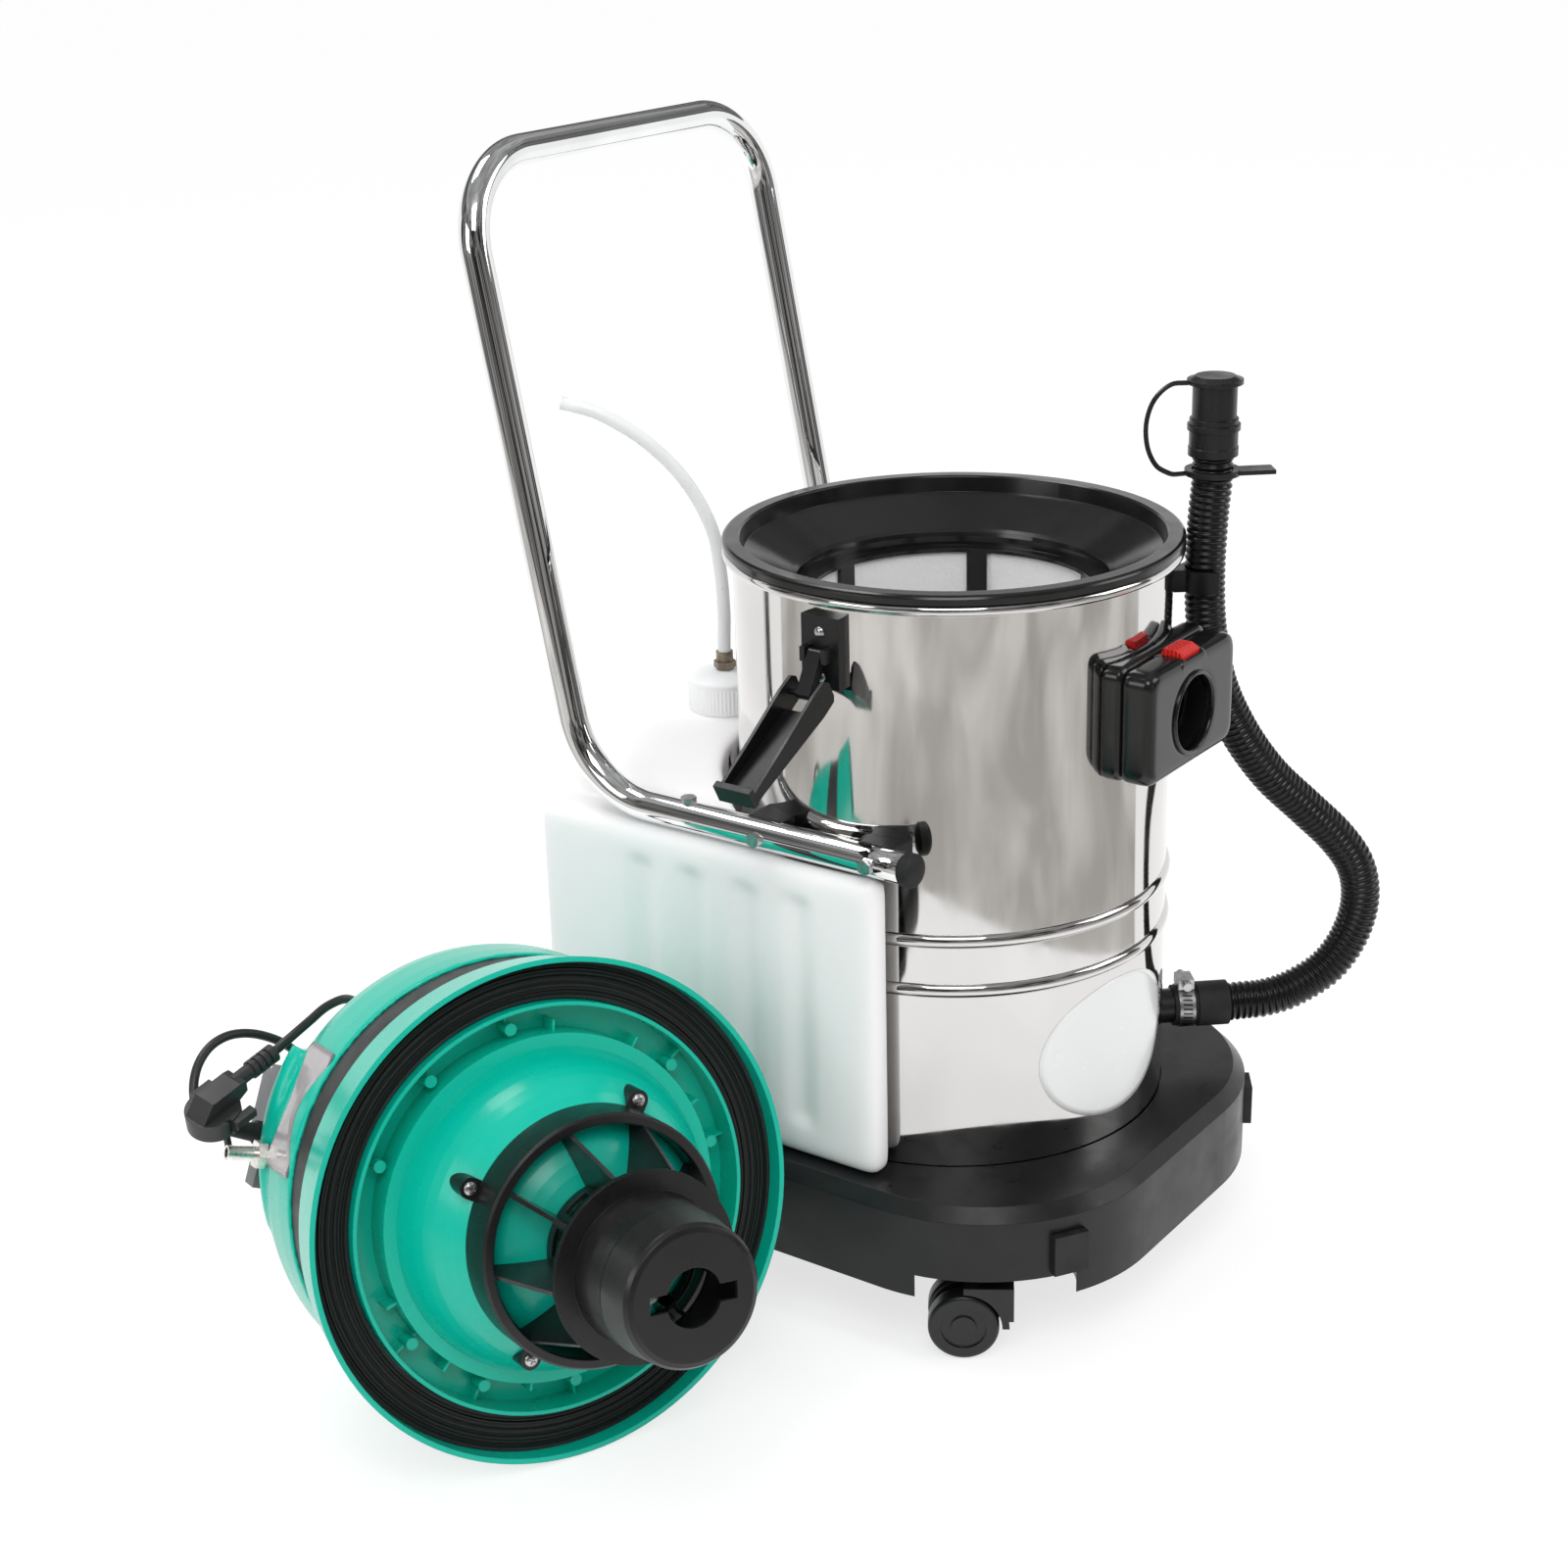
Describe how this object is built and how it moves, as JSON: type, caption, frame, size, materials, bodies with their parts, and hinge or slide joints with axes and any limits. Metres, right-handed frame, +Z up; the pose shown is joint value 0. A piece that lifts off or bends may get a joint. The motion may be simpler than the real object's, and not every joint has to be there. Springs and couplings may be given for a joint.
{
  "type": "spray-extraction cleaning vacuum",
  "caption": "Steel drum vacuum on a castered base with solution tank, push handle, drain hose, filter basket and a separate motor head lying beside it.",
  "frame": {"origin": "middle of the object's footprint on the floor, measured without its free cords", "axes": "+Z up, -Y out of the hose inlet (front), +Y towards the push handle, -X towards the motor head"},
  "size_m": [0.8132, 0.6227, 0.8106],
  "materials": {
    "black_plastic": "moulded",
    "black_satin": "satin",
    "stainless": "mirror polished",
    "chrome_tube": "polished",
    "zinc": "zinc plated",
    "white_plastic": "blow moulded",
    "green_plastic": "satin",
    "rubber_black": "matt",
    "red_plastic": "satin",
    "filter_cloth": "non-woven",
    "brass": "satin",
    "nickel": "nickel plated",
    "grey_plastic": "moulded",
    "motor_grey": "painted",
    "clear_tube": "translucent"
  },
  "bodies": {
    "root": {"base_platform": "black_plastic", "base_bumpers": "rubber_black", "drum_shell": "stainless", "inlet_plate": "black_satin", "inlet_box": "black_satin", "drain_spout": "black_satin", "hose_clamp": "zinc", "hose_cuff_lower": "rubber_black", "drain_hose": "black_satin", "hose_cuff_upper": "black_satin", "hose_cap_strap": "black_satin", "hose_clip": "black_plastic", "handle_tube": "chrome_tube", "handle_end_caps": "rubber_black", "handle_bolts": "zinc", "handle_spacers": "black_plastic", "solution_tank": "white_plastic", "tank_fitting": "brass", "tank_dip_tube": "clear_tube", "solution_tube": "clear_tube", "latch_plate_left": "black_plastic", "latch_plate_right": "black_plastic", "latch_screws": "zinc"},
    "caster_front_left": {"caster_hood_front_left": "black_satin"},
    "wheels_front_left": {"caster_wheels_front_left": "black_satin"},
    "caster_front_right": {"caster_hood_front_right": "black_satin"},
    "wheels_front_right": {"caster_wheels_front_right": "black_satin"},
    "caster_rear_left": {"caster_hood_rear_left": "black_satin"},
    "wheels_rear_left": {"caster_wheels_rear_left": "black_satin"},
    "caster_rear_right": {"caster_hood_rear_right": "black_satin"},
    "wheels_rear_right": {"caster_wheels_rear_right": "black_satin"},
    "basket": {"filter_basket": "black_plastic", "filter_cloth": "filter_cloth"},
    "button": {"inlet_button": "red_plastic"},
    "cap": {"tank_cap": "white_plastic"},
    "plug_cap": {"hose_cap": "black_satin"},
    "link_left": {"latch_link_left": "black_plastic"},
    "lever_left": {"latch_lever_left": "black_plastic"},
    "link_right": {"latch_link_right": "black_plastic"},
    "lever_right": {"latch_lever_right": "black_plastic"},
    "head": {"head_dome": "green_plastic", "head_band": "black_plastic", "head_lower_housing": "green_plastic", "head_gasket": "rubber_black", "float_cage": "black_plastic", "cage_screws": "zinc", "motor_body": "motor_grey", "pump_body": "grey_plastic", "hose_barb": "nickel", "strain_relief": "rubber_black", "switch_panel": "grey_plastic", "head_handle": "black_plastic", "mains_cord_a": "rubber_black", "cord_coil": "rubber_black", "mains_cord_b": "rubber_black", "mains_plug": "black_satin"},
    "rotor": {"motor_rotor": "motor_grey"},
    "float": {"float_ball": "black_satin"},
    "rocker_motor": {"rocker_switch_motor": "black_plastic"},
    "rocker_pump": {"rocker_switch_pump": "black_plastic"}
  },
  "joints": [
    {"name": "swivel_front_left", "type": "hinge", "parent": "root", "child": "caster_front_left", "pos_m": [-0.00736, -0.17833, 0.06], "axis": [0, 0, 1], "continuous": true},
    {"name": "roll_front_left", "type": "hinge", "parent": "caster_front_left", "child": "wheels_front_left", "pos_m": [-0.01849, -0.16052, 0.025], "axis": [-0.848, -0.5299, 0], "continuous": true},
    {"name": "swivel_front_right", "type": "hinge", "parent": "root", "child": "caster_front_right", "pos_m": [0.29064, -0.17833, 0.06], "axis": [0, 0, 1], "continuous": true},
    {"name": "roll_front_right", "type": "hinge", "parent": "caster_front_right", "child": "wheels_front_right", "pos_m": [0.287, -0.15765, 0.025], "axis": [-0.9848, -0.1736, 0], "continuous": true},
    {"name": "swivel_rear_left", "type": "hinge", "parent": "root", "child": "caster_rear_left", "pos_m": [-0.00736, 0.12667, 0.06], "axis": [0, 0, 1], "continuous": true},
    {"name": "roll_rear_left", "type": "hinge", "parent": "caster_rear_left", "child": "wheels_rear_left", "pos_m": [-0.0194, 0.14387, 0.025], "axis": [-0.8192, -0.5736, 0], "continuous": true},
    {"name": "swivel_rear_right", "type": "hinge", "parent": "root", "child": "caster_rear_right", "pos_m": [0.29064, 0.12667, 0.06], "axis": [0, 0, 1], "continuous": true},
    {"name": "roll_rear_right", "type": "hinge", "parent": "caster_rear_right", "child": "wheels_rear_right", "pos_m": [0.28881, 0.14759, 0.025], "axis": [-0.9962, -0.0872, 0], "continuous": true},
    {"name": "basket_lift", "type": "slide", "parent": "root", "child": "basket", "axis": [0, 0, 1], "range_m": [0, 0.25], "deforming": ["hose_cap_strap"]},
    {"name": "inlet_release", "type": "slide", "parent": "root", "child": "button", "axis": [0, 0, -1], "range_m": [0, 0.003], "stiffness_N_per_m": 600, "springref_m": -0.002},
    {"name": "tank_cap_turn", "type": "hinge", "parent": "root", "child": "cap", "pos_m": [0.14164, 0.15267, 0.4], "axis": [0, 0, 1], "continuous": true},
    {"name": "hose_cap_pull", "type": "slide", "parent": "root", "child": "plug_cap", "axis": [0, 0, 1], "range_m": [0, 0.014]},
    {"name": "latch_link_swing_left", "type": "hinge", "parent": "root", "child": "link_left", "pos_m": [-0.02436, -0.05033, 0.496], "axis": [0, 1, 0], "range_deg": [0, 70]},
    {"name": "latch_lever_swing_left", "type": "hinge", "parent": "link_left", "child": "lever_left", "pos_m": [-0.03793, -0.05033, 0.47151], "axis": [0, 1, 0], "range_deg": [-35, 80]},
    {"name": "latch_link_swing_right", "type": "hinge", "parent": "root", "child": "link_right", "pos_m": [0.30764, -0.05033, 0.496], "axis": [0, -1, 0], "range_deg": [0, 70]},
    {"name": "latch_lever_swing_right", "type": "hinge", "parent": "link_right", "child": "lever_right", "pos_m": [0.32122, -0.05033, 0.47151], "axis": [0, -1, 0], "range_deg": [-35, 80]},
    {"name": "head_slide", "type": "slide", "parent": "root", "child": "head", "axis": [-1, 0, 0], "range_m": [0, 0.15]},
    {"name": "motor_spin", "type": "hinge", "parent": "head", "child": "rotor", "pos_m": [-0.21118, 0.09501, 0.14933], "axis": [-0.4048, -0.8964, 0.1805], "continuous": true},
    {"name": "float_rise", "type": "slide", "parent": "head", "child": "float", "axis": [-0.4048, -0.8964, 0.1805], "range_m": [0, 0.055]},
    {"name": "rocker_tilt_motor", "type": "hinge", "parent": "head", "child": "rocker_motor", "pos_m": [-0.28019, 0.22184, 0.20895], "axis": [-0.4245, 0.0093, -0.9054], "range_deg": [-13, 0]},
    {"name": "rocker_tilt_pump", "type": "hinge", "parent": "head", "child": "rocker_pump", "pos_m": [-0.2908, 0.22207, 0.18631], "axis": [-0.4245, 0.0093, -0.9054], "range_deg": [-13, 0]}
  ]
}
